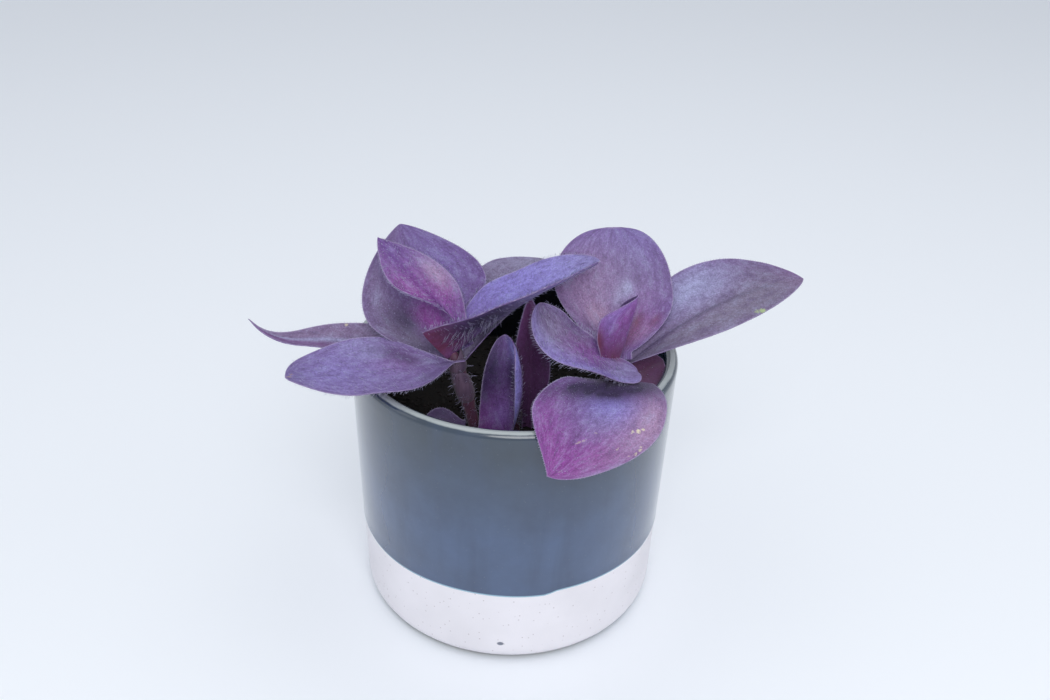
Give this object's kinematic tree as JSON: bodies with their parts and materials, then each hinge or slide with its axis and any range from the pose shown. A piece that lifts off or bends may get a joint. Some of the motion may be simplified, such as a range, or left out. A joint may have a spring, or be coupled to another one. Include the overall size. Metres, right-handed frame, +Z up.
{
  "type": "potted tradescantia",
  "caption": "Low trailing houseplant with broad, hairy purple leaves on short stems, growing in a straight-sided two-tone stoneware pot.",
  "frame": {"origin": "centre of the pot's flat base, on the surface that it stands on", "axes": "+Z up along the pot's axis; -Y towards the front, where one leaf hangs over the rim; +X towards the long leaf on the right"},
  "size_m": [0.1687, 0.1116, 0.1234],
  "materials": {
    "glazed_stoneware": "gloss",
    "potting_mix": "matte",
    "stem_skin": "satin",
    "leaf_skin": "satin"
  },
  "bodies": {
    "root": {"leaf_front_heart": "leaf_skin", "leaf_left_back": "leaf_skin", "leaf_left_boat": "leaf_skin", "leaf_left_oval": "leaf_skin", "leaf_left_slender": "leaf_skin", "leaf_left_strap": "leaf_skin", "leaf_low_left": "leaf_skin", "leaf_middle_back": "leaf_skin", "leaf_middle_folded": "leaf_skin", "leaf_middle_rolled": "leaf_skin", "leaf_right_inner": "leaf_skin", "leaf_right_long": "leaf_skin", "leaf_right_round": "leaf_skin", "leaf_right_wavy": "leaf_skin", "leaf_right_young": "leaf_skin", "pot": "glazed_stoneware", "soil": "potting_mix", "stem_left": "stem_skin", "stem_middle": "stem_skin", "stem_right": "stem_skin"}
  },
  "joints": []
}
